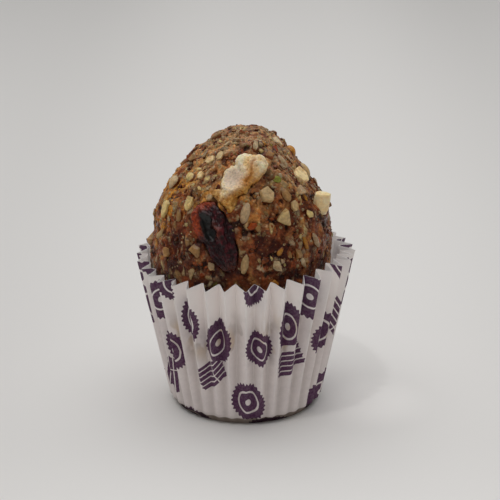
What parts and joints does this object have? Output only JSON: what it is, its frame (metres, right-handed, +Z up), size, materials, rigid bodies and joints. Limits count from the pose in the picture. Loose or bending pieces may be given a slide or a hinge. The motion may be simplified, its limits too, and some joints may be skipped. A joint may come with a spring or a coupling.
{
  "type": "edible gum laddu",
  "caption": "Egg-shaped hand-pressed sweet of dates, chopped nuts and puffed edible gum, standing in a pleated printed paper case.",
  "frame": {"origin": "middle of the paper case's flat underside", "axes": "+Z up along the case's axis to the top of the sweet; -Y is the side that shows the puffed gum and the berry; +X is to the right of that side"},
  "size_m": [0.0466, 0.0474, 0.0598],
  "materials": {
    "paper_case": "matt greaseproof paper with a purple print",
    "laddu_body": "pressed date paste with nut crumbs, slightly moist",
    "puffed_gum": "dry and porous",
    "dried_berry": "wrinkled, sticky skin",
    "almond_chunk": "waxy broken nut"
  },
  "bodies": {
    "root": {"paper_case": "paper_case", "laddu_body": "laddu_body", "puffed_gum": "puffed_gum", "dried_berry": "dried_berry", "almond_chunk": "almond_chunk"}
  },
  "joints": []
}
